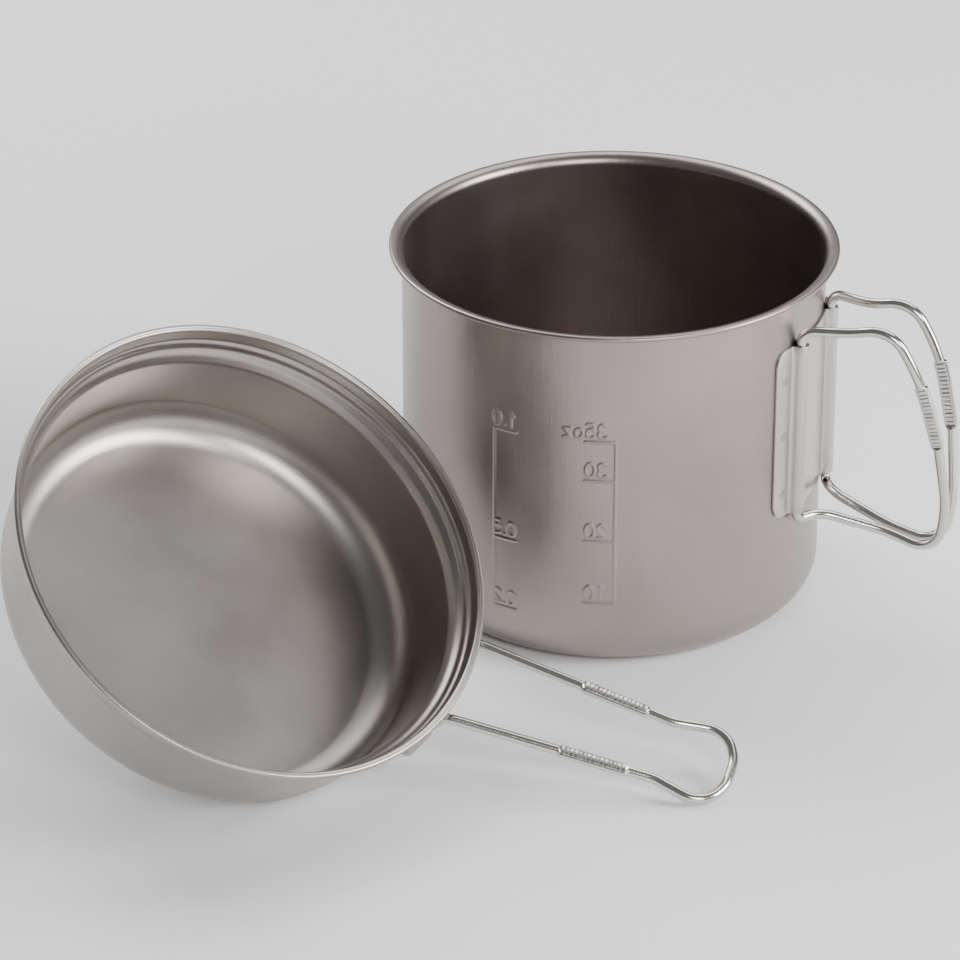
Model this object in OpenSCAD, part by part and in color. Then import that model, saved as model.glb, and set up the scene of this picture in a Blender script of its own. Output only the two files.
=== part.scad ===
// Camping cooking pot set: a deep pot with two folding wire wings, and a frying pan
// that doubles as the lid, with one folding wire loop handle.
// Millimetres. Origin: centre of the pot's base, on the table. +Z up, +X towards the
// pot's handle bracket. The pan stands beside the pot, tilted, on its base edge and
// on the tip of its handle.

/* [Pot] */
// Outer radius of the pot wall
pot_r = 65; // [60:1:70]
// Height of the pot, base to top of the rim
pot_h = 114.7; // [105:0.1:125]
// Outside radius between base and wall
pot_fillet = 12.4; // [8:0.2:16]
// Sheet thickness of both vessels
sheet_t = 0.45; // [0.4:0.05:0.8]
// How far the rolled rim stands out from the wall
rim_out = 4; // [3.6:0.1:5]

/* [Graduations] */
// Width of the pressed lines
mark_w = 0.7; // [0.4:0.1:1.2]
// Height of the pressed lines above the wall
mark_h = 0.2; // [0.1:0.05:0.4]
// Turn of the litre scale's upright about Z
litre_turn = -102.9; // [-106:0.1:-100]
// Turn of the ounce scale's upright about Z
ounce_turn = -69.1; // [-72:0.1:-66]
// Length of a graduation line along the wall
tick_len = 9.5; // [6:0.5:12]

/* [Pot bracket] */
// Bottom of the bracket
bracket_z0 = 41; // [38:0.5:46]
// Top of the bracket
bracket_z1 = 97.5; // [92:0.5:99]
// Half the angle the bracket spans round the pot
bracket_half_turn = 21.5; // [19:0.5:25]
// Thickness of the bracket sheet
bracket_t = 0.8; // [0.6:0.1:1.0]
// Angle of each hinge barrel from the bracket's middle
barrel_turn = 12.45; // [11:0.05:14]

/* [Wire] */
// Radius of the handle wire
wire_r = 1.55; // [1.4:0.05:1.7]
// Radial clearance of a wire in its barrel or ear
hinge_gap = 0.05; // [0.03:0.01:0.10]
// Width of the flattened grips
grip_w = 4.1; // [3.6:0.1:5]
// Thickness of the flattened grips
grip_t = 2.0; // [1.6:0.1:2.4]

/* [Pot wings] */
// Opening angle of the wings, from straight out towards each other
wing_open = 22.45; // [20:0.05:28]
// Top run above the table
wing_top_z = 102; // [101:0.5:104]
// Bottom run above the table
wing_low_z = 38; // [35:0.5:38]

/* [Pan] */
// Outer radius of the pan's rolled rim
pan_rim_r = 74.1; // [73:0.1:76]
// Outer radius of the pan wall where it meets the base fillet
pan_base_r = 66; // [64:0.5:68]
// Depth of the pan, outside
pan_h = 42.2; // [40:0.1:44]
// Outside radius between pan base and wall
pan_fillet = 11.4; // [8:0.2:14]

/* [Pan placement] */
// Middle of the pan's rim, X
pan_x = -57.3; // [-60:0.1:-55]
// Middle of the pan's rim, Y
pan_y = -144.8; // [-150:0.1:-140]
// Turn about X, first
pan_roll = 25.27; // [20:0.01:30]
// Turn about Y, second
pan_pitch = 31.33; // [25:0.01:36]
// Turn about Z, last
pan_yaw = 16.76; // [10:0.01:22]

/* [Pan handle] */
// Distance of the hinge axis out from the pan's middle
pan_hinge_x = 69.6; // [69.4:0.1:70]
// Depth of the hinge axis below the rim
pan_hinge_depth = 26.3; // [26.2:0.1:26.6]
// Rise of the handle above the plane of the rim
handle_rise = 17.9; // [17.6:0.05:18.2]
// Half the distance between the two legs at the hinge
leg_half = 14.6; // [14.2:0.1:15]

/* [Hidden] */
$fn = 64;
eps = 0.01;
pot_inner_r = pot_r - sheet_t;
barrel_r = 67;                       // distance of the hinge barrels from the pot axis
barrel_bore = wire_r + hinge_gap;
barrel_out = barrel_bore + bracket_t;
barrel_inset = 0.3;                  // a barrel ends this far inside the bracket's edge
fold_r = 58.1;                       // plan curve of a wing, a little tighter than the pot's
bend_extra = 0.03;                   // extra radius of a bend over a straight run
run_sink = 0.3;                      // length of a run's end inside the bend it meets
weld_r = 1.6;
weld_h = 0.2;
pan_low_ring = pan_base_r - pan_fillet;
tilt_cos = cos(pan_roll) * cos(pan_pitch);
// height of the rim's middle that puts the base edge exactly on the table
pan_z = (pan_h - pan_fillet) * tilt_cos
      + pan_low_ring * sqrt(1 - tilt_cos * tilt_cos) + pan_fillet;

titanium = [0.60, 0.57, 0.54];
satin = [0.72, 0.70, 0.68];
steel = [0.80, 0.80, 0.79];

// ---------- vectors ----------

function unit(v) = v / norm(v);

function reversed(v) = [for (i = [len(v) - 1 : -1 : 0]) v[i]];

// Turns of an orthonormal frame, for rotate([a, b, c]). If ex is upright, the first is 0.
function frame_turns(ex, ey, ez) =
  abs(ex.z) > 1 - 1e-9
    ? [0, ex.z > 0 ? -90 : 90, atan2(-ey.x, ey.y)]
    : [atan2(ey.z, ez.z), -asin(ex.z), atan2(ex.y, ex.x)];

// Corners of a rectangle from (x0, y0) to (x1, y1) with corner radius r.
function rounded(x0, y0, x1, y1, r) =
  [for (c = [[x1 - r, y1 - r, 0], [x0 + r, y1 - r, 90], [x0 + r, y0 + r, 180], [x1 - r, y0 + r, 270]],
        a = [0 : 15 : 90])
    [c.x + r * cos(c.z + a), c.y + r * sin(c.z + a)]];

// Places children with their Z axis along d, starting at p, and Y axis as near side as can be.
module along(p, d, side = [0.013, 0.017, 1]) {
  ez = unit(d);
  ex = unit(cross(side, ez));
  ey = cross(ez, ex);
  translate(p)
    rotate(frame_turns(ex, ey, ez))
      children();
}

// ---------- bent wire ----------

// Distance from a corner to where its bend of radius r starts.
function bend_cut(a, b, c, r) =
  let (u = unit(b - a), w = unit(c - b), turn = acos(max(-1, min(1, u * w))))
  r * tan(turn / 2);

// One bend of radius r at corner b of the path a, b, c. It is a hair thicker than the runs,
// so that their ends sink into it cleanly.
module wire_bend(a, b, c, r) {
  u = unit(b - a);
  w = unit(c - b);
  turn = acos(max(-1, min(1, u * w)));
  ez = unit(cross(u, w));
  inward = cross(ez, u);
  centre = b - r * tan(turn / 2) * u + r * inward;
  translate(centre)
    rotate(frame_turns(-inward, u, ez))
      rotate_extrude(angle = turn)
        translate([r, 0])
          circle(wire_r + bend_extra);
}

// A round wire through the corners p, with a bend radius at each in r (0 at a free end).
// grips lists the runs that are pressed flat, thin along side.
module bent_wire(p, r, grips, side, closed) {
  n = len(p);
  for (i = [0 : n - (closed ? 1 : 2)]) {
    a = p[i];
    b = p[(i + 1) % n];
    d = unit(b - a);
    cut0 = r[i] == 0 ? 0 : bend_cut(p[(i + n - 1) % n], a, b, r[i]) - run_sink;
    cut1 = r[(i + 1) % n] == 0 ? 0 : bend_cut(a, b, p[(i + 2) % n], r[(i + 1) % n]) - run_sink;
    along(a + cut0 * d, d, side)
      if (len([for (g = grips) if (g == i) g]) > 0)
        linear_extrude(norm(b - a) - cut0 - cut1)
          grip_section();
      else
        cylinder(r = wire_r, h = norm(b - a) - cut0 - cut1);
  }
  for (i = [0 : n - 1])
    if (r[i] > 0)
      wire_bend(p[(i + n - 1) % n], p[i], p[(i + 1) % n], r[i]);
}

// Flattened wire, thin along Y.
module grip_section()
  intersection() {
    circle(grip_w / 2);
    square([grip_w + 1, grip_t], center = true);
  }

// ---------- pot ----------

// Half section of a solid bucket with a rounded base edge.
module bucket_half(r, h, fillet) {
  translate([0, fillet])
    square([r, h - fillet]);
  square([r - fillet, fillet + eps]);
  intersection() {
    translate([r - fillet, fillet])
      circle(fillet);
    square([r, fillet + eps]);
  }
}

// Quarter ring of sheet that turns the wall outwards into the rolled rim. It is a hair
// thicker than the wall, and its foot takes in the wall's top edge.
module rim_flare(x, top, rho) {
  extra = 0.02;
  foot = 0.1;
  intersection() {
    translate([x + rho, top - rho - sheet_t])
      difference() {
        circle(rho + sheet_t + extra);
        circle(rho - extra);
      }
    translate([x - sheet_t - extra, top - rho - sheet_t])
      square([rho + sheet_t + extra, rho + sheet_t]);
  }
  translate([x - sheet_t - extra, top - rho - sheet_t - foot])
    square([sheet_t + 2 * extra, foot + eps]);
}

module pot_half_section() {
  flare = 2.2;
  bead = 1.15;
  difference() {
    bucket_half(pot_r, pot_h - flare - sheet_t, pot_fillet);
    translate([0, sheet_t])
      bucket_half(pot_inner_r, pot_h, pot_fillet - sheet_t);
  }
  rim_flare(pot_r, pot_h, flare);
  translate([pot_r + rim_out - bead, pot_h - bead])
    circle(bead);
}

// A pressed bar on the wall, h proud, from turn a to turn b, between heights z0 and z1.
module wall_bar(a, b, z0, z1, h)
  rotate([0, 0, a])
    rotate_extrude(angle = b - a)
      translate([pot_r - sheet_t / 2, z0])
        square([sheet_t / 2 + h, z1 - z0]);

// One scale: an upright with level ticks; way is +1 if the ticks run towards +turn.
module scale_marks(turn, heights, way) {
  line_turn = mark_w / pot_r * 180 / PI;
  tick_turn = tick_len / pot_r * 180 / PI;
  wall_bar(turn - line_turn / 2, turn + line_turn / 2, min(heights), max(heights), mark_h);
  for (z = heights)
    wall_bar(way > 0 ? turn : turn - tick_turn, way > 0 ? turn + tick_turn : turn,
             z - mark_w / 2, z + mark_w / 2, mark_h * 0.8);
}

module pot_shell()
  color(titanium) {
    rotate_extrude()
      pot_half_section();
    scale_marks(litre_turn, [17.6, 41.3, 78.1], 1);
    scale_marks(ounce_turn, [23.6, 44.8, 65.4, 78.4], -1);
  }

// Outline of the bracket seen from the front, with rounded corners, extruded along X.
module bracket_outline() {
  half_w = pot_r * sin(bracket_half_turn);
  rotate([90, 0, 90])
    linear_extrude(100)
      polygon(rounded(-half_w, bracket_z0, half_w, bracket_z1, 4.5));
}

module barrels_at()
  for (a = [-barrel_turn, barrel_turn])
    rotate([0, 0, a])
      translate([barrel_r, 0, 0])
        children();

module pot_bracket()
  color(satin)
    difference() {
      union() {
        intersection() {
          difference() {
            cylinder(r = pot_r + bracket_t, h = 150);
            translate([0, 0, -1])
              cylinder(r = pot_r, h = 152);
          }
          bracket_outline();
        }
        difference() {
          barrels_at()
            translate([0, 0, bracket_z0 + barrel_inset])
              cylinder(r = barrel_out, h = bracket_z1 - bracket_z0 - 2 * barrel_inset);
          cylinder(r = pot_r + 0.2, h = 150);
        }
      }
      barrels_at()
        cylinder(r = barrel_bore, h = 150);
    }

module pot_spot_welds()
  color(satin)
    for (a = [-18, 18], z = [49, 68.7, 87.3])
      rotate([0, 0, a])
        translate([pot_r + bracket_t, 0, z])
          rotate([0, 90, 0])
            cylinder(r = weld_r, h = weld_h);

// ---------- pot wings ----------

// Point of a wing: run s along its plan curve, height z, set over by w towards the middle.
// The wing is the front one (y < 0); its plan curve starts at the barrel, wing_open degrees
// past straight out, and bends back so that it lies round the pot when it is folded.
function wing_point(s, z, w) =
  let (h = wing_open - s / fold_r * 180 / PI,
       x0 = barrel_r * cos(barrel_turn), y0 = -barrel_r * sin(barrel_turn))
  [x0 + fold_r * (sin(wing_open) - sin(h)) - w * sin(h),
   y0 + fold_r * (cos(h) - cos(wing_open)) + w * cos(h),
   z];

// Corners of the wing, a closed loop, from the top of the hinge run round to its bottom.
wing_path = [
  wing_point(0, wing_top_z, 0),
  wing_point(14.2, wing_top_z, -0.3),
  wing_point(27.6, wing_top_z + 3.1, -0.3),
  wing_point(37, 88.9, 1.6),
  wing_point(41.1, 66.7, 5.9),
  wing_point(42.2, 46.2, 9.5),
  wing_point(39.9, 28.3, 9.9),
  wing_point(25.6, 32.6, 8.1),
  wing_point(6.9, wing_low_z, 5.3),
  wing_point(0, wing_low_z, 0)];
wing_bends = [4, 30, 10.2, 62, 39, 49, 8.2, 33, 13, 2.6];

module wing()
  color(steel)
    bent_wire(wing_path, wing_bends, [3], [0, 1, 0], true);

module pot_wing_front()
  wing();

module pot_wing_rear()
  mirror([0, 1, 0])
    wing();

// ---------- pan ----------

module pan_place()
  translate([pan_x, pan_y, pan_z])
    rotate([pan_roll, pan_pitch, pan_yaw])
      children();

// Wall stations of the pan, [outer radius, height], from the rim down; rim top at 0.
pan_wall = [
  [pan_rim_r - 1.8, -5],
  [pan_rim_r - 2.8, -6.1],
  [pan_rim_r - 3.2, -7.8],
  [pan_rim_r - 4.7, -9.4],
  [pan_rim_r - 6.1, -12],
  [pan_base_r, -pan_h + pan_fillet]];

// One face of the pan's sheet, from the rim down to the base edge: the outer face at t = 0,
// the inner face at t = sheet_t.
function pan_face(t) =
  let (flare = 0.55, flare_x = pan_wall[0].x + flare, flare_z = -flare - sheet_t - 0.2,
       low_z = -pan_h + pan_fillet)
  concat([for (a = [90 : 15 : 180]) [flare_x + (flare + t) * cos(a), flare_z + (flare + t) * sin(a)]],
         [for (p = pan_wall) [p.x - t, p.y]],
         [for (a = [7.5 : 7.5 : 90])
           [pan_low_ring + (pan_fillet - t) * cos(a), low_z - (pan_fillet - t) * sin(a)]]);

module pan_half_section() {
  bead = 0.8;
  polygon(concat(pan_face(sheet_t), [[0, -pan_h + sheet_t], [0, -pan_h]], reversed(pan_face(0))));
  translate([pan_rim_r - bead, -bead])
    circle(bead);
}

module pan_shell()
  color(titanium)
    pan_place()
      rotate_extrude()
        pan_half_section();

// Radius of the pan's outer wall at height z, on its conical part.
function pan_wall_r(z) =
  let (a = pan_wall[4], b = pan_wall[5])
  b.x + (a.x - b.x) * (z - b.y) / (a.y - b.y);

wall_lean = atan(pan_wall_r(0) - pan_wall_r(-1));   // lean of that wall from upright
plate_z0 = -30;
plate_z1 = -12;
plate_half_turn = 15.2;
ear_y = leg_half + wire_r + 0.5;     // inner face of each ear
ear_t = 0.9;
ear_x = 73;

// Plate that follows the wall, with a hinge ear turned out at each end.
module pan_bracket()
  color(satin)
    pan_place()
      difference() {
        union() {
          rotate([0, 0, -plate_half_turn])
            rotate_extrude(angle = 2 * plate_half_turn)
              polygon([[pan_wall_r(plate_z0), plate_z0], [pan_wall_r(plate_z0) + bracket_t, plate_z0],
                       [pan_wall_r(plate_z1) + bracket_t, plate_z1], [pan_wall_r(plate_z1), plate_z1]]);
          for (side = [-1, 1])
            translate([0, side > 0 ? ear_y : -ear_y - ear_t, 0])
              ear();
        }
        rotate_extrude()
          polygon([[0, plate_z0 - 5], [pan_wall_r(plate_z0 - 5), plate_z0 - 5],
                   [pan_wall_r(plate_z1 + 5), plate_z1 + 5], [0, plate_z1 + 5]]);
        translate([pan_hinge_x, 50, -pan_hinge_depth])
          rotate([90, 0, 0])
            cylinder(r = barrel_bore, h = 100);
      }

// One ear: a rounded tab standing out from the wall.
module ear()
  translate([0, ear_t, 0])
    rotate([90, 0, 0])
      linear_extrude(ear_t)
        polygon(rounded(60, plate_z0 + 0.3, ear_x, plate_z1 - 0.3, 2));

module pan_spot_welds()
  color(satin)
    pan_place()
      for (side = [-1, 1], z = [-14.5, -20, -25.5])
        rotate([0, 0, side * 6.3])
          translate([pan_wall_r(z) + bracket_t, 0, z])
            rotate([0, 90 + wall_lean, 0])
              cylinder(r = weld_r, h = weld_h);

// Point of the handle's flat loop: s along it from under the rim, y across.
function loop_point(s, y) =
  [pan_rim_r + s * cos(handle_rise), y, -6.76 + s * sin(handle_rise)];

pin_end = ear_y + ear_t + 1.2;

// Half of the loop, from the hinge pin to the tip, on one side of the middle.
function half_loop(side) = [
  [pan_hinge_x, side * pin_end, -pan_hinge_depth],
  [pan_hinge_x, side * leg_half, -pan_hinge_depth],
  loop_point(-0.9, side * leg_half),
  loop_point(33.1, side * 12.4),
  loop_point(54.6, side * 11.2),
  loop_point(62.2, side * 10.7),
  loop_point(78.1, side * 14.1),
  loop_point(82.7, side * 4.7)];
half_bends = [0, 2.2, 4, 30, 30, 12.7, 8.4, 11.2];

module pan_handle()
  color(steel)
    pan_place()
      bent_wire(concat(half_loop(-1), reversed(half_loop(1))),
                concat(half_bends, reversed(half_bends)), [3, 11],
                [-sin(handle_rise), 0, cos(handle_rise)], false);

// ---------- output ----------

pot_shell();
pot_bracket();
pot_spot_welds();
pot_wing_front();
pot_wing_rear();
pan_shell();
pan_bracket();
pan_spot_welds();
pan_handle();
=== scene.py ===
import math

import bmesh
import bpy
import numpy as np
from mathutils import Euler, Matrix, Vector


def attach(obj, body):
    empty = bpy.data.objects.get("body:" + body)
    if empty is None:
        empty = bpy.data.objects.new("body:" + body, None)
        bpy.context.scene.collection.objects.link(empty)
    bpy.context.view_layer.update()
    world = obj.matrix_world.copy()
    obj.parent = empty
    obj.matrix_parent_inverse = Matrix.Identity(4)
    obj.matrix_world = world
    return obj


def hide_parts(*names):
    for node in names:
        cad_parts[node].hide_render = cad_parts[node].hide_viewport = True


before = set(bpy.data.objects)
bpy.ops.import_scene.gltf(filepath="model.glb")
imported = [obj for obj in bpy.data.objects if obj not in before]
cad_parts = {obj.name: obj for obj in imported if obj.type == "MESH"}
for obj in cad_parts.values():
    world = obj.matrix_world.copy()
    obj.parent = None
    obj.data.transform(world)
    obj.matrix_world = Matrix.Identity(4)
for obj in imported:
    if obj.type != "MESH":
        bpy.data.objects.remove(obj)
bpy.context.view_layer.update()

MM = 0.001

# ---------- sizes, as in the CAD source ----------

POT_R, POT_H, POT_FILLET, SHEET = 65.0, 114.7, 12.4, 0.45
RIM_OUT = 4.0
WIRE_R, GRIP_W, GRIP_T = 1.55, 4.1, 2.0
BARREL_TURN, BARREL_R, FOLD_R, WING_OPEN = 12.45, 67.0, 58.1, 22.45
BRACKET_Z0, BRACKET_Z1, BRACKET_TURN, BRACKET_T = 41.0, 97.5, 21.5, 0.8
SEAT_GAP, EDGE_R = 0.02, 0.12
PAN_RIM_R, PAN_BASE_R, PAN_H, PAN_FILLET = 74.1, 66.0, 42.2, 11.4
PAN_HINGE_X, PAN_HINGE_DEPTH, HANDLE_RISE, LEG_HALF = 69.6, 26.3, 17.9, 14.6
PAN_STEP_R, PAN_STEP_Z = PAN_RIM_R - 6.1, -12.0
PLATE_Z0, PLATE_Z1, EAR_X, EAR_T = -29.7, -12.3, 73.0, 0.9
EAR_Y = LEG_HALF + WIRE_R + 0.5
PAN_WELD_TURN = 6.3
PAN_X, PAN_Y = -57.3, -144.8
PAN_TURNS = Euler([math.radians(a) for a in (25.27, 31.33, 16.76)], "XYZ")

tilt_cos = PAN_TURNS.to_matrix()[2][2]
PAN_Z = (PAN_H - PAN_FILLET) * tilt_cos + (PAN_BASE_R - PAN_FILLET) * math.sqrt(1 - tilt_cos**2) + PAN_FILLET
PAN_PLACE = Matrix.Translation((PAN_X, PAN_Y, PAN_Z)) @ PAN_TURNS.to_matrix().to_4x4()


# ---------- meshes ----------

def add_mesh(name, points, faces, body, nodes, material, place=None):
    """A mesh piece in the row frame that stands for CAD nodes and rides on a body."""
    pts = np.asarray(points, float)
    if place is not None:
        m = np.array(place)
        pts = pts @ m[:3, :3].T + m[:3, 3]
    mesh = bpy.data.meshes.new(name)
    mesh.from_pydata((pts * MM).tolist(), [], faces)
    merge_poles(mesh)
    mesh.polygons.foreach_set("use_smooth", [True] * len(mesh.polygons))
    mesh.update()
    obj = bpy.data.objects.new(name, mesh)
    bpy.context.scene.collection.objects.link(obj)
    obj.data.materials.append(material)
    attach(obj, body)
    if nodes:
        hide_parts(*nodes)
    return obj


def merge_poles(mesh):
    """Joins the points that fall together where a turned shape meets its axis."""
    work = bmesh.new()
    work.from_mesh(mesh)
    bmesh.ops.remove_doubles(work, verts=work.verts, dist=1e-7)
    bmesh.ops.dissolve_degenerate(work, edges=work.edges, dist=1e-8)
    work.to_mesh(mesh)
    work.free()


def grid_faces(rows, cols, wrap_rows, wrap_cols, base=0):
    """Quads between the points of a rows by cols grid."""
    faces = []
    for i in range(rows if wrap_rows else rows - 1):
        for j in range(cols if wrap_cols else cols - 1):
            i2, j2 = (i + 1) % rows, (j + 1) % cols
            corners = ((i, j), (i, j2), (i2, j2), (i2, j))
            faces.append(tuple(base + row * cols + col for row, col in corners))
    return faces


def arc(cx, cz, r, start, end, steps):
    """Points of an arc in a half section, angles in degrees."""
    return [(cx + r * math.cos(math.radians(start + (end - start) * k / steps)),
             cz + r * math.sin(math.radians(start + (end - start) * k / steps))) for k in range(steps + 1)]


def refine(points, longest):
    """The same polyline with no stretch longer than asked."""
    out = [points[0]]
    for a, b in zip(points, points[1:]):
        n = max(1, math.ceil(math.dist(a, b) / longest))
        out += [tuple(a[k] + (b[k] - a[k]) * i / n for k in range(len(a))) for i in range(1, n + 1)]
    return out


def softened(points, r, steps=4):
    """A half section with its inner corners rounded by about r."""
    out = [points[0]]
    for a, b, c in zip(points, points[1:], points[2:]):
        a, b, c = (np.array(p, float) for p in (a, b, c))
        cut = min(r, 0.45 * np.linalg.norm(b - a), 0.45 * np.linalg.norm(c - b))
        p = b + (a - b) / np.linalg.norm(a - b) * cut
        q = b + (c - b) / np.linalg.norm(c - b) * cut
        for k in range(steps + 1):
            t = k / steps
            out.append(tuple((1 - t) ** 2 * p + 2 * t * (1 - t) * b + t * t * q))
    out.append(points[-1])
    return out


def lathe(section, turns):
    """Points of a half section turned about Z to each of the given angles in degrees."""
    a = np.radians(np.asarray(turns))
    s = np.asarray(section, float)
    x = np.outer(np.cos(a), s[:, 0])
    y = np.outer(np.sin(a), s[:, 0])
    z = np.broadcast_to(s[:, 1], x.shape)
    return np.stack([x, y, z], -1)


def bent_path(corners, bends, closed, step):
    """Points along straight runs joined by round bends. A bend of 0 is a free end."""
    bend_step = 0.6
    n = len(corners)
    c = [np.array(p, float) for p in corners]
    out = []
    for i in range(n):
        if bends[i] == 0:
            out.append(c[i])
            continue
        u = c[i] - c[i - 1]
        w = c[(i + 1) % n] - c[i]
        u, w = u / np.linalg.norm(u), w / np.linalg.norm(w)
        turn = math.acos(max(-1.0, min(1.0, float(u @ w))))
        cut = bends[i] * math.tan(turn / 2)
        inward = w - u * (w @ u)
        inward = inward / np.linalg.norm(inward)
        centre = c[i] - u * cut + inward * bends[i]
        steps = max(3, math.ceil(bends[i] * turn / bend_step))
        for k in range(steps + 1):
            t = turn * k / steps
            out.append(centre - inward * bends[i] * math.cos(t) + u * bends[i] * math.sin(t))
    if closed:
        out.append(out[0])
    pts = refine([tuple(p) for p in out], step)
    if closed:
        pts = pts[:-1]
    return np.array(pts)


def grip_runs(path, corners, grips):
    """How flat a wire is at each point of its path, from 0 to 1, and how far along a grip it lies."""
    blend, on_run = 1.3, 0.6
    flat = np.zeros(len(path))
    along = np.zeros(len(path))
    for a, b in grips:
        p, q = np.array(corners[a], float), np.array(corners[b], float)
        length = np.linalg.norm(q - p)
        s = (path - p) @ (q - p) / length
        off = np.linalg.norm(path - p - np.outer(s / length, q - p), axis=1)
        inside = np.clip(np.minimum(s, length - s) / blend, 0, 1) * (off < on_run)
        flat = np.maximum(flat, inside * inside * (3 - 2 * inside))
        along = np.where(inside > 0, s, along)
    return flat, along


def wire_section(angle, flat, along):
    """One cross-section of a wire, as offsets across and through it, and which points are sunk. It
    goes from round to a rounded oblong as flat goes from 0 to 1, with tooling on a grip's faces."""
    relief, sink, squareness = 0.06, 0.09, 3.5
    half_w = WIRE_R + flat * (GRIP_W / 2 - WIRE_R)
    half_t = WIRE_R + flat * (GRIP_T / 2 - sink - WIRE_R)
    power = 2 / (2 + squareness * flat)
    across = np.sign(np.cos(angle)) * np.abs(np.cos(angle)) ** power * half_w
    through = np.sign(np.sin(angle)) * np.abs(np.sin(angle)) ** power * half_t
    face = (np.abs(through) > half_t * 0.8) & (flat > 0.98)
    raised = grip_relief(along, across)
    through = through + np.sign(through) * relief * raised * face
    # The sunk points on a grip's faces are also the mask for the painted shade in its recesses.
    return across, through, face & (raised < 0.5)


def wire(name, corners, bends, closed, thin, grips, body, nodes, place=None):
    """A bent round wire with flattened, tooled grips. grips are (start corner, end corner), and
    thin is the direction in which they are pressed flat."""
    step, ring_n = 0.35, 40
    path = bent_path(corners, bends, closed, step)
    n = len(path)
    if closed:
        tangent = np.roll(path, -1, 0) - np.roll(path, 1, 0)
    else:
        tangent = np.gradient(path, axis=0)
    tangent = tangent / np.linalg.norm(tangent, axis=1)[:, None]
    flat, along = grip_runs(path, corners, grips)
    thin = np.array(thin, float)
    angle = np.linspace(0, 2 * math.pi, ring_n, endpoint=False)
    points, sunk = [], []
    for i in range(n):
        t = tangent[i]
        a = thin - t * (thin @ t)
        a = a / np.linalg.norm(a)
        b = np.cross(t, a)
        across, through, low = wire_section(angle, flat[i], along[i])
        sunk.append(low)
        points.append(path[i] + np.outer(across, b) + np.outer(through, a))
    faces = grid_faces(n, ring_n, closed, True)
    if not closed:
        faces.append(tuple(range(ring_n)))
        faces.append(tuple(range((n - 1) * ring_n, n * ring_n))[::-1])
    obj = add_mesh(name, np.concatenate(points), faces, body, nodes, STEEL, place)
    # Painted shade: a second, darker steel for the faces that lie wholly in the grips' recesses, where shade
    # falls.
    obj.data.materials.append(STEEL_PAINTED_SHADE)
    low = np.concatenate(sunk)
    for face in obj.data.polygons:
        face.material_index = int(all(low[v] for v in face.vertices))
    return obj


def grip_relief(s, w):
    """Generic tooling on a grip: a raised border and cross bars, between 0 and 1."""
    pitch, bar, bar_half, border_from = 1.3, 0.55, 1.15, 1.45
    border = np.abs(w) > border_from
    bars = ((s % pitch) < bar) & (np.abs(w) < bar_half)
    return np.where(border | bars, 1.0, 0.0)


def sheet_strip(name, outer, inner, low, high, body, nodes, place=None):
    """A bent sheet with one plan section, outer and inner faces given as (x, y) points of
    equal number, from low[i] to high[i] at each point."""
    count, rows = len(outer), 12
    ring_x = np.concatenate([np.array(outer, float), np.array(inner, float)[::-1]])
    lo = np.concatenate([low, low[::-1]])
    hi = np.concatenate([high, high[::-1]])
    pts = []
    for k in range(rows + 1):
        z = lo + (hi - lo) * k / rows
        pts.append(np.column_stack([ring_x, z]))
    faces = grid_faces(rows + 1, 2 * count, False, True)
    top = rows * 2 * count
    for i in range(count - 1):
        j = 2 * count - 1 - i
        faces.append((i, j, j - 1, i + 1))
        faces.append((top + i, top + i + 1, top + j - 1, top + j))
    obj = add_mesh(name, np.concatenate(pts), faces, body, nodes, SATIN, place)
    bevel = obj.modifiers.new("edge", "BEVEL")
    bevel.width = EDGE_R * MM
    bevel.segments = 2
    bevel.limit_method = "ANGLE"
    bevel.angle_limit = math.radians(50)
    return obj


def weld_marks(name, spots, body, nodes, place=None):
    """Shallow spot-weld dimples: spots are (point on the sheet, outward direction)."""
    section = [(1.6, -0.12), (1.5, 0.02), (1.3, 0.06), (1.05, 0.05)]
    section += [(0.8, 0.02), (0.35, 0.015), (0.0, 0.015)]
    turns = np.arange(0, 360, 15)
    shape = lathe(section, turns)
    cols = len(section)
    points, faces = [], []
    for p, d in spots:
        turn = np.array(Vector(d).to_track_quat("Z", "Y").to_matrix())
        base = len(points) * shape.shape[0] * cols
        faces += grid_faces(len(turns), cols, True, False, base)
        points.append(shape.reshape(-1, 3) @ turn.T + np.array(p, float))
    return add_mesh(name, np.concatenate(points), faces, body, nodes, WELD, place)


# ---------- materials ----------

# Noise scales are per metre, and the streaks run along Z because their noise is stretched there.
CLOUD_SCALE, STREAK_SCALE, STREAK_STRETCH = 22, 1500, 0.04
BUMP_DEPTH = 0.00006
SPECK_SHARE = 0.35


def new_material(name):
    """A fresh node material, its tree and its shader."""
    mat = bpy.data.materials.new(name)
    mat.use_nodes = True
    tree = mat.node_tree
    return mat, tree, tree.nodes["Principled BSDF"]


def noise(tree, coord, stretch, scale, detail):
    """A noise texture stretched along the object's axes."""
    mapping = tree.nodes.new("ShaderNodeMapping")
    mapping.inputs["Scale"].default_value = stretch
    tree.links.new(coord, mapping.inputs["Vector"])
    tex = tree.nodes.new("ShaderNodeTexNoise")
    tex.inputs["Scale"].default_value = scale
    tex.inputs["Detail"].default_value = detail
    tree.links.new(mapping.outputs["Vector"], tex.inputs["Vector"])
    return tex.outputs["Fac"]


def spread(tree, value, low, high, start=0.3, end=0.7):
    """Maps a noise value onto a range of a socket's values."""
    node = tree.nodes.new("ShaderNodeMapRange")
    node.inputs["From Min"].default_value = start
    node.inputs["From Max"].default_value = end
    node.inputs["To Min"].default_value = low
    node.inputs["To Max"].default_value = high
    tree.links.new(value, node.inputs["Value"])
    return node.outputs["Result"]


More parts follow.
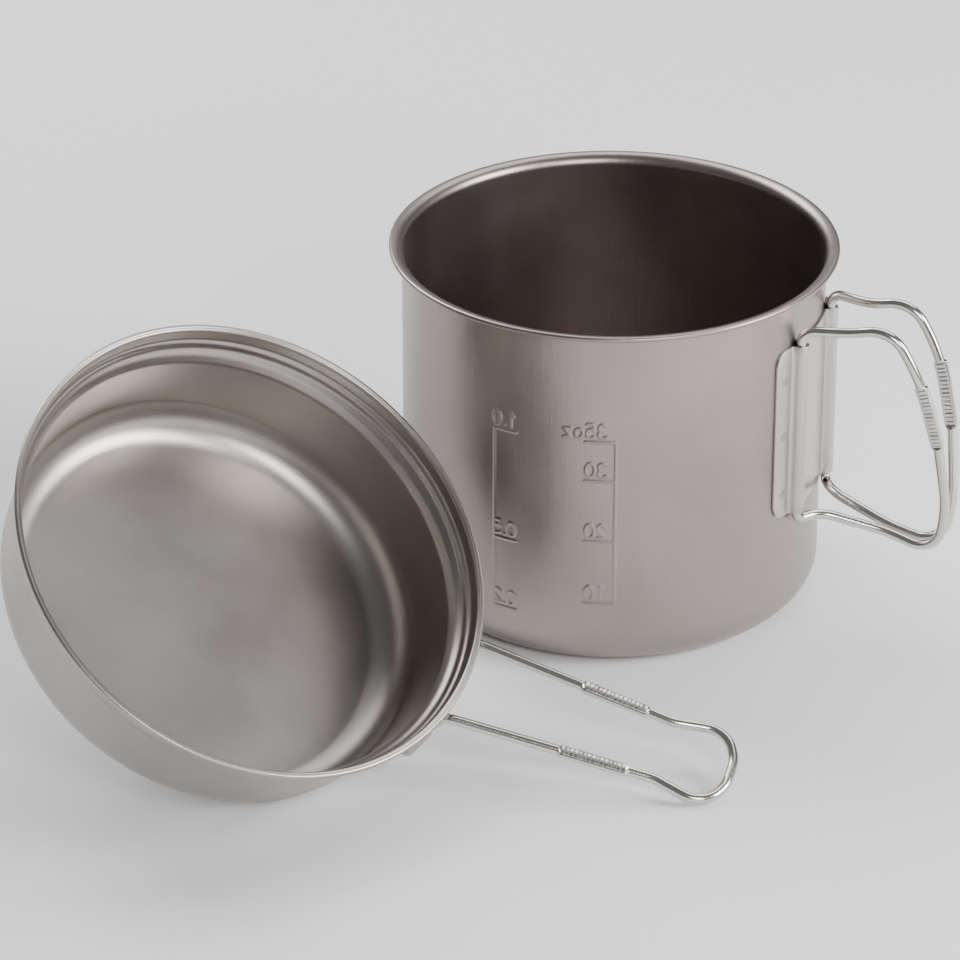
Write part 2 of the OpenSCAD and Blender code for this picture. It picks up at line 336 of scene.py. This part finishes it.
def mix_colour(tree, value, a, b):
    """A colour between a and b, chosen by a value from 0 to 1."""
    node = tree.nodes.new("ShaderNodeMix")
    node.data_type = "RGBA"
    fac_in, a_in, b_in, colour_out = 0, 6, 7, 2
    node.inputs[a_in].default_value = (*a, 1)
    node.inputs[b_in].default_value = (*b, 1)
    tree.links.new(value, node.inputs[fac_in])
    return node.outputs[colour_out]


def bump(tree, height, strength, below=None):
    """A bump of fixed depth from a noise value, laid over another bump's normals if given."""
    node = tree.nodes.new("ShaderNodeBump")
    node.inputs["Strength"].default_value = strength
    node.inputs["Distance"].default_value = BUMP_DEPTH
    tree.links.new(height, node.inputs["Height"])
    if below is not None:
        tree.links.new(below, node.inputs["Normal"])
    return node.outputs["Normal"]


def metal(name, dark, light, rough_low, rough_high, grain, grain_scale, streak):
    """A metal with mottled colour, uneven gloss, fine grain and drawn streaks along Z."""
    mat, tree, shader = new_material(name)
    coord = tree.nodes.new("ShaderNodeTexCoord").outputs["Object"]
    cloud = noise(tree, coord, (1, 1, 1), CLOUD_SCALE, 4)
    speck = noise(tree, coord, (1, 1, 1), grain_scale, 2)
    lines = noise(tree, coord, (1, 1, STREAK_STRETCH), STREAK_SCALE, 3)
    tone = tree.nodes.new("ShaderNodeMath")
    tone.operation = "MULTIPLY_ADD"
    tone.inputs[1].default_value = SPECK_SHARE
    tree.links.new(speck, tone.inputs[0])
    tree.links.new(spread(tree, cloud, 0.0, 1 - SPECK_SHARE), tone.inputs[2])
    tree.links.new(mix_colour(tree, tone.outputs[0], dark, light), shader.inputs["Base Color"])
    tree.links.new(spread(tree, cloud, rough_low, rough_high), shader.inputs["Roughness"])
    shader.inputs["Metallic"].default_value = 1.0
    grain_normal = bump(tree, speck, grain)
    tree.links.new(bump(tree, lines, streak, grain_normal), shader.inputs["Normal"])
    return mat


TITANIUM = metal("titanium_satin", (0.29, 0.253, 0.239), (0.395, 0.350, 0.333),
                 0.30, 0.38, grain=0.30, grain_scale=4200, streak=0.8)
TITANIUM_PAN = metal("titanium_blasted", (0.33, 0.302, 0.284), (0.45, 0.417, 0.395),
                     0.29, 0.34, grain=0.45, grain_scale=3600, streak=0.06)
SATIN = metal("bracket_satin", (0.50, 0.468, 0.448), (0.61, 0.582, 0.562),
              0.29, 0.36, grain=0.25, grain_scale=4200, streak=0.3)
WELD = metal("weld_satin", (0.34, 0.315, 0.30), (0.46, 0.435, 0.415),
             0.36, 0.48, grain=0.35, grain_scale=4200, streak=0.10)
STEEL = metal("steel_drawn", (0.58, 0.565, 0.54), (0.70, 0.685, 0.66),
              0.12, 0.20, grain=0.12, grain_scale=5200, streak=0.08)
# Painted shade for the grips' recesses: a darker, rougher steel than the bare wire, standing in for the
# shade in the tooling.
STEEL_PAINTED_SHADE = metal("steel_painted_recess_shade", (0.16, 0.155, 0.15), (0.34, 0.33, 0.32),
                   0.35, 0.50, grain=0.40, grain_scale=5200, streak=0.05)


# ---------- pot ----------

LITRE_TURN, LITRE_TICK = -102.9, 7.6
OUNCE_TURN, OUNCE_TICK, OUNCE_TOP = -69.1, 9.2, 78.4
LITRE_MARKS = ((17.6, "0.2"), (41.3, "0.5"), (78.1, "1.0"))
OUNCE_MARKS = ((23.6, "10"), (44.8, "20"), (65.4, "30"), (OUNCE_TOP, "35oz"))
FIGURE_H, FIGURE_RISE = 4.7, 1.3


def stroke_set():
    """The pressed graduations as strokes ((x, z), (x, z)) in the wall's unrolled plane, where x is
    the distance along the wall in the direction of growing turn. The figures read from inside."""
    litre = math.radians(LITRE_TURN) * POT_R
    ounce = math.radians(OUNCE_TURN) * POT_R
    strokes = [((litre, LITRE_MARKS[0][0]), (litre, LITRE_MARKS[-1][0]))]
    strokes.append(((ounce, OUNCE_MARKS[0][0]), (ounce, OUNCE_TOP)))
    for z, label in LITRE_MARKS:
        strokes.append(((litre, z), (litre + LITRE_TICK, z)))
        strokes += lettering(label, litre + 7.4, z + FIGURE_RISE)
    for z, label in OUNCE_MARKS:
        strokes.append(((ounce - OUNCE_TICK, z), (ounce, z)))
        strokes += lettering(label, ounce - 2.6, z + FIGURE_RISE)
    return strokes


def curve(cx, cz, rx, rz, start, end, steps=7):
    """Strokes along part of an ellipse, angles in degrees."""
    pts = [(cx + rx * math.cos(math.radians(start + (end - start) * k / steps)),
            cz + rz * math.sin(math.radians(start + (end - start) * k / steps))) for k in range(steps + 1)]
    return list(zip(pts, pts[1:]))


def glyph(c):
    """Strokes of one figure, or else of a decimal point, in a box 0.62 wide and 1 high."""
    if c == "0":
        return curve(0.31, 0.5, 0.29, 0.48, 0, 360, 14)
    if c == "1":
        return [((0.34, 0.0), (0.34, 1.0)), ((0.34, 1.0), (0.12, 0.78))]
    if c == "2":
        foot = [((0.54, 0.59), (0.05, 0.02)), ((0.05, 0.02), (0.58, 0.02))]
        return curve(0.31, 0.72, 0.27, 0.26, 165, -30) + foot
    if c == "3":
        return curve(0.28, 0.75, 0.26, 0.23, 150, -90) + curve(0.28, 0.27, 0.29, 0.25, 90, -150)
    if c == "5":
        flag = [((0.54, 0.98), (0.12, 0.98)), ((0.12, 0.98), (0.08, 0.56))]
        return flag + curve(0.29, 0.33, 0.28, 0.31, 130, -140)
    if c == "o":
        return curve(0.29, 0.32, 0.25, 0.30, 0, 360, 12)
    if c == "z":
        return [((0.06, 0.62), (0.5, 0.62)), ((0.5, 0.62), (0.06, 0.02)), ((0.06, 0.02), (0.5, 0.02))]
    return [((0.06, 0.04), (0.09, 0.04))]


def lettering(text, x0, z0):
    """Figures laid from x0 towards falling x, so that they read from inside the pot."""
    narrow, wide = 0.30 * FIGURE_H, 0.76 * FIGURE_H
    out, x = [], x0
    for c in text:
        for stroke in glyph(c):
            out.append(tuple((x - u * FIGURE_H, z0 + v * FIGURE_H) for u, v in stroke))
        x -= narrow if c == "." else wide
    return out


def press_height(x, z, strokes):
    """How far the wall stands proud of its radius at unrolled points, from the nearest stroke."""
    height, foot, slope, far = 0.27, 0.54, 0.32, 9.0
    near = np.full(x.shape, far)
    for (ax, az), (bx, bz) in strokes:
        dx, dz = bx - ax, bz - az
        length2 = max(dx * dx + dz * dz, 1e-9)
        box = (x > min(ax, bx) - 1) & (x < max(ax, bx) + 1) & (z > min(az, bz) - 1) & (z < max(az, bz) + 1)
        t = np.clip(((x[box] - ax) * dx + (z[box] - az) * dz) / length2, 0, 1)
        near[box] = np.minimum(near[box], np.hypot(x[box] - ax - t * dx, z[box] - az - t * dz))
    edge = np.clip((foot - near) / slope, 0, 1)
    return height * edge * edge * (3 - 2 * edge)


def pot_section():
    """The pot's half section: up the outside, over the rolled rim and down the inside."""
    flare, bead = 2.9, 0.8
    pressed_from, pressed_to, pressed_step = 16.0, 86.0, 0.28
    flare_x, flare_z = POT_R + flare, POT_H - flare - SHEET
    bead_x, bead_z = POT_R + RIM_OUT - bead, POT_H - bead
    base = refine([(0.0, 0.0), (POT_R - POT_FILLET, 0.0)], 4)
    corner = arc(POT_R - POT_FILLET, POT_FILLET, POT_FILLET, -90, 0, 14)
    wall = refine([(POT_R, POT_FILLET), (POT_R, pressed_from)], 2)
    wall += refine([(POT_R, pressed_from), (POT_R, pressed_to)], pressed_step)[1:]
    wall += refine([(POT_R, pressed_to), (POT_R, flare_z)], 4)[1:]
    under = arc(flare_x, flare_z, flare, 180, 100, 9)
    roll = arc(bead_x, bead_z, bead, 215, 450, 16)
    inside = arc(flare_x, flare_z, flare + SHEET, 92, 180, 12)
    inner_wall = refine([(POT_R - SHEET, flare_z), (POT_R - SHEET, POT_FILLET)], 5)
    inner_corner = arc(POT_R - POT_FILLET, POT_FILLET, POT_FILLET - SHEET, 0, -90, 12)
    floor = refine([(POT_R - POT_FILLET, SHEET), (0.0, SHEET)], 4)
    outside = base[:-1] + corner + wall[1:] + under[1:]
    return outside + roll + inside[1:] + inner_wall[1:] + inner_corner[1:] + floor[1:]


def build_pot():
    """The pot, with its wall pressed outwards along the graduations."""
    section = pot_section()
    fine = np.arange(-110.0, -62.0, 0.25)
    coarse = np.arange(-62.0, 250.0, 2.0)
    turns = np.concatenate([fine, coarse])
    points = lathe(section, turns)
    s = np.array(section)
    wall = (np.abs(s[:, 0] - POT_R) < 1e-6) & (s[:, 1] > 14) & (s[:, 1] < 90)
    cols = np.where(wall)[0]
    rows = np.arange(len(fine))
    x = np.repeat((np.radians(fine) * POT_R)[:, None], len(cols), 1)
    z = np.repeat(s[cols, 1][None, :], len(rows), 0)
    lift = press_height(x, z, stroke_set())
    scale = 1 + lift / POT_R
    block = points[np.ix_(rows, cols)]
    block[..., 0] *= scale
    block[..., 1] *= scale
    points[np.ix_(rows, cols)] = block
    faces = grid_faces(len(turns), len(section), True, False)
    add_mesh("pot_body", points.reshape(-1, 3), faces, "pot", ["pot_shell"], TITANIUM)


def barrel_plan():
    """Outer and inner faces of one hinge barrel, as (along the wall, off the wall) points."""
    lift = BARREL_R - POT_R
    outer_r, inner_r = 2.4, 1.62
    outer_foot = [(3.5, BRACKET_T), (2.85, 0.92), (2.5, 1.35)]
    inner_foot = [(2.6, SEAT_GAP), (2.0, 0.15), (1.65, 0.7)]
    faces = []
    for foot, r in ((outer_foot, outer_r), (inner_foot, inner_r)):
        crown = [(-x, z) for x, z in arc(0, lift, r, 0, 180, 14)]
        faces.append([(-x, z) for x, z in foot] + crown + foot[::-1])
    return faces


def bracket_plan():
    """Outer and inner faces of the whole bracket in plan, unrolled, and half its length."""
    barrel_reach = 4.2
    half_arc = math.radians(BRACKET_TURN) * POT_R
    barrel_s = math.radians(BARREL_TURN) * POT_R
    barrel_out, barrel_in = barrel_plan()
    flange = np.linspace(-half_arc, -barrel_s - barrel_reach, 7)
    web = np.linspace(-barrel_s + barrel_reach, barrel_s - barrel_reach, 9)
    outer = [(x, BRACKET_T) for x in flange]
    inner = [(x, SEAT_GAP) for x in flange]
    for centre, sheet in ((-barrel_s, web), (barrel_s, -flange[::-1])):
        outer += [(centre + x, z) for x, z in barrel_out] + [(x, BRACKET_T) for x in sheet]
        inner += [(centre + x, z) for x, z in barrel_in] + [(x, SEAT_GAP) for x in sheet]
    return np.array(outer), np.array(inner), half_arc


def rounded_ends(reach, end, corner):
    """How far a sheet's edge is cut back, so that its corners are rounded where reach nears end."""
    past = np.clip(reach - (end - corner), 0, corner)
    return corner - np.sqrt(corner**2 - past**2)


def build_pot_bracket():
    """The stamped sheet with its two barrels, wrapped round the pot, and its weld marks."""
    out, inn, half_arc = bracket_plan()

    def bend(p):
        """Unrolled plan points wrapped round the pot."""
        a = p[:, 0] / POT_R
        r = POT_R + p[:, 1]
        return np.column_stack([r * np.cos(a), r * np.sin(a)])

    cut = rounded_ends(np.abs(out[:, 0]), half_arc, 4.5)
    sheet_strip("pot_bracket_sheet", bend(out), bend(inn), BRACKET_Z0 + cut, BRACKET_Z1 - cut,
                "pot", ["pot_bracket"])
    spots = []
    for a in (-18, 18):
        for z in (49, 68.7, 87.3):
            d = (math.cos(math.radians(a)), math.sin(math.radians(a)), 0)
            spots.append(((POT_R + BRACKET_T) * np.array(d) + np.array((0, 0, z)), d))
    weld_marks("pot_weld_marks", spots, "pot", ["pot_spot_welds"])


def wing_point(s, z, w):
    """Point of the front wing: run s along its plan curve, height z, set over by w."""
    open_a = math.radians(WING_OPEN)
    h = open_a - s / FOLD_R
    x0 = BARREL_R * math.cos(math.radians(BARREL_TURN))
    y0 = -BARREL_R * math.sin(math.radians(BARREL_TURN))
    return (x0 + FOLD_R * (math.sin(open_a) - math.sin(h)) - w * math.sin(h),
            y0 + FOLD_R * (math.cos(h) - math.cos(open_a)) + w * math.cos(h), z)


def build_wings():
    """The two wings, one the mirror image of the other."""
    corners = [wing_point(*p) for p in (
        (0, 102, 0), (14.2, 102, -0.3), (27.6, 105.1, -0.3), (37, 88.9, 1.6), (41.1, 66.7, 5.9),
        (42.2, 46.2, 9.5), (39.9, 28.3, 9.9), (25.6, 32.6, 8.1), (6.9, 38, 5.3), (0, 38, 0))]
    bends = [4, 30, 10.2, 62, 39, 49, 8.2, 33, 13, 2.6]
    wire("wing_front_wire", corners, bends, True, (0, 1, 0), [(3, 4)], "wing_front", ["pot_wing_front"])
    rear = [(x, -y, z) for x, y, z in corners]
    wire("wing_rear_wire", rear, bends, True, (0, 1, 0), [(3, 4)], "wing_rear", ["pot_wing_rear"])


# ---------- pan ----------

def pan_face(t, soft):
    """One face of the pan's sheet from rim to base edge, t in from the outer face."""
    flare_r, flare_drop = 0.55, 1.2
    steps = ((1.8, -1.6), (1.8, -5), (2.8, -6.1), (3.2, -7.8), (4.7, -9.4))
    wall = [(PAN_RIM_R - inset - t, z) for inset, z in steps]
    wall += [(PAN_STEP_R - t, PAN_STEP_Z), (PAN_BASE_R - t, PAN_FILLET - PAN_H)]
    flare = arc(PAN_RIM_R - 1.8 + flare_r, -flare_drop, flare_r + t, 96, 180, 6)
    corner = arc(PAN_BASE_R - PAN_FILLET, PAN_FILLET - PAN_H, PAN_FILLET - t, 0, -90, 16)
    return flare + softened(wall, soft)[1:-1] + corner


def weld_dents(points):
    """Short marks on the pan's inner face, in rows behind the bracket's welds."""
    turn = np.degrees(np.arctan2(points[..., 1], points[..., 0]))
    z = points[..., 2]
    r = np.hypot(points[..., 0], points[..., 1])
    inner = (z > PAN_FILLET - PAN_H) & (z < PAN_STEP_Z) & (r < pan_wall_r(z) - SHEET / 2)
    marks, first_z, pitch, zigzag, wide, high, deep = 9, -13, 1.7, 0.25, 0.45, 0.6, 0.10
    depth = np.zeros(z.shape)
    for side in (-1, 1):
        for k in range(marks):
            across = (turn - side * PAN_WELD_TURN - zigzag * (-1) ** k) / wide
            down = (z - first_z + pitch * k) / high
            depth += deep * np.exp(-across**2 - down**2)
    return depth * inner


def build_pan():
    """The pan: inner face, floor, base, outer face and rolled rim in one closed section."""
    bead = 0.8
    bead_x, bead_z = PAN_RIM_R - bead, -bead
    inner = pan_face(SHEET, 0.7)
    outer = pan_face(0, 0.9)
    low = PAN_BASE_R - PAN_FILLET
    floor = refine([(low, -PAN_H + SHEET), (0.0, -PAN_H + SHEET)], 3)
    base = refine([(0.0, -PAN_H), (low, -PAN_H)], 3)
    roll = arc(bead_x, bead_z, bead, 200, -240, 26)[2:-2]
    section = refine(inner, 0.5) + floor[1:] + base + refine(outer[::-1], 2.5)[1:] + roll
    fine = np.arange(-9, 9, 0.3)
    coarse = np.arange(9, 351, 1.2)
    turns = np.concatenate([fine, coarse])
    points = lathe(section, turns)
    points[..., :2] *= (1 - weld_dents(points) / PAN_BASE_R)[..., None]
    faces = grid_faces(len(turns), len(section), True, True)
    add_mesh("pan_body", points.reshape(-1, 3), faces, "pan", ["pan_shell"], TITANIUM_PAN,
             PAN_PLACE)


def pan_wall_r(z):
    """Radius of the pan's conical wall at a height below the rim."""
    low_z = PAN_FILLET - PAN_H
    return PAN_BASE_R + (PAN_STEP_R - PAN_BASE_R) * (z - low_z) / (PAN_STEP_Z - low_z)


def build_pan_bracket():
    """The plate behind the pan's wall with an ear bent out at each end, and its weld marks."""
    r = pan_wall_r(0.5 * (PLATE_Z0 + PLATE_Z1))
    turn = math.asin(EAR_Y / r)
    angles = np.linspace(-turn + 0.03, turn - 0.03, 15)
    plate_out = [((r + BRACKET_T) * math.cos(a), (r + BRACKET_T) * math.sin(a)) for a in angles]
    plate_in = [(r * math.cos(a), r * math.sin(a)) for a in angles]
    foot = r * math.cos(turn)
    xs = [EAR_X, EAR_X - 0.6, EAR_X - 1.2, EAR_X - 2.0, foot + 2.2, foot + 1.5]
    ear_in = [(x, EAR_Y) for x in xs]
    ear_out = [(x, EAR_Y + EAR_T) for x in xs[:-1]] + [(foot + 0.9, EAR_Y + EAR_T * 0.8)]
    outer = [(x, -y) for x, y in ear_in] + plate_out + ear_in[::-1]
    inner = [(x, -y) for x, y in ear_out] + plate_in + ear_out[::-1]
    out = np.array(outer)
    cut = rounded_ends(out[:, 0], EAR_X, 2.0) * (np.abs(out[:, 1]) > EAR_Y - 0.1)
    obj = sheet_strip("pan_bracket_sheet", outer, inner, PLATE_Z0 + cut, PLATE_Z1 - cut, "pan",
                      ["pan_bracket"], PAN_PLACE)
    follow_cone(obj, r)
    spots = []
    for side in (-1, 1):
        for z in (-14.5, -20, -25.5):
            a = math.radians(side * PAN_WELD_TURN)
            d = np.array((math.cos(a), math.sin(a), 0))
            spots.append(((pan_wall_r(z) + BRACKET_T) * d + np.array((0, 0, z)), tuple(d)))
    weld_marks("pan_weld_marks", spots, "pan", ["pan_spot_welds"], PAN_PLACE)


def follow_cone(obj, r_mid):
    """Leans the plate part of the pan bracket to the pan's conical wall."""
    inverse = PAN_PLACE.inverted()
    for v in obj.data.vertices:
        p = inverse @ (v.co / MM)
        r = math.hypot(p.x, p.y)
        if r < r_mid + 2.0:
            p.xy = p.xy * ((r + pan_wall_r(p.z) - r_mid) / r)
            v.co = (PAN_PLACE @ p) * MM


def build_pan_handle():
    """The loop handle: pins in the ears, two legs up to the rim's level, and the tapering loop."""
    rise = math.radians(HANDLE_RISE)
    loop_drop, pin_reach = 6.76, 1.2

    def loop(s, y):
        """A point of the loop, s out from the rim in the loop's plane."""
        return (PAN_RIM_R + s * math.cos(rise), y, s * math.sin(rise) - loop_drop)

    def half(side):
        """Corners of one side of the handle, from its pin to its tip."""
        pin = [(PAN_HINGE_X, side * y, -PAN_HINGE_DEPTH) for y in (EAR_Y + EAR_T + pin_reach, LEG_HALF)]
        stations = ((-0.9, LEG_HALF), (33.1, 12.4), (54.6, 11.2), (62.2, 10.7), (78.1, 14.1), (82.7, 4.7))
        return pin + [loop(s, side * y) for s, y in stations]

    bends = [0, 2.2, 4, 30, 30, 12.7, 8.4, 11.2]
    wire("pan_handle_wire", half(-1) + half(1)[::-1], bends + bends[::-1], False,
         (-math.sin(rise), 0, math.cos(rise)), [(3, 4), (11, 12)], "pan_loop", ["pan_handle"], PAN_PLACE)


build_pot()
build_pot_bracket()
build_wings()
build_pan()
build_pan_bracket()
build_pan_handle()


# ---------- floor, light and camera ----------

def build_stage():
    """The plain pale floor."""
    mat, _, shader = new_material("floor_pale")
    pale, width, drop = 0.92, 8, 0.0002
    shader.inputs["Base Color"].default_value = (pale, pale, pale, 1)
    shader.inputs["Roughness"].default_value = 0.9
    bpy.ops.mesh.primitive_plane_add(size=width, location=(0, 0, -drop))
    floor = bpy.context.object
    floor.name = "floor"
    floor.data.materials.append(mat)


def area_light(name, place, aim, width, height, power):
    """A soft rectangular light in metres and watts, turned towards a point."""
    data = bpy.data.lights.new(name, "AREA")
    data.shape = "RECTANGLE"
    data.size = width
    data.size_y = height
    data.energy = power
    obj = bpy.data.objects.new(name, data)
    bpy.context.scene.collection.objects.link(obj)
    obj.location = place
    obj.rotation_euler = (Vector(aim) - Vector(place)).to_track_quat("-Z", "Y").to_euler()


def build_world():
    """An even white surround."""
    world = bpy.data.worlds.new("studio")
    bpy.context.scene.world = world
    world.use_nodes = True
    back = world.node_tree.nodes["Background"]
    back.inputs["Color"].default_value = (1.0, 1.0, 1.0, 1)
    back.inputs["Strength"].default_value = 0.18


def build_camera():
    """The camera, solved from the outlines of the pot and the pan."""
    data = bpy.data.cameras.new("camera")
    data.lens = 185.4
    data.sensor_width = 36
    cam = bpy.data.objects.new("camera", data)
    bpy.context.scene.collection.objects.link(cam)
    turn, rise, away = math.radians(21.4), math.radians(27.475), 1.5495
    aim = Vector((-0.0382, -0.0150, 0.0322))
    back = Vector((math.sin(turn) * math.cos(rise), -math.cos(turn) * math.cos(rise), math.sin(rise)))
    cam.location = aim + back * away
    cam.rotation_euler = (-back).to_track_quat("-Z", "Y").to_euler()
    bpy.context.scene.camera = cam


build_stage()
area_light("sky_back", (-0.25, 1.0, 1.7), (-0.02, -0.05, 0.05), 2.4, 1.3, 27)
area_light("side_right", (1.15, 0.05, 0.55), (0.15, 0.05, 0.0), 0.6, 0.6, 20)
area_light("ring_left", (-0.95, 0.45, 0.95), (-0.05, -0.1, 0.05), 0.7, 0.7, 11)
area_light("key_front", (1.0, -1.15, 0.9), (0.0, -0.15, 0.0), 0.6, 0.6, 14)
build_world()
build_camera()
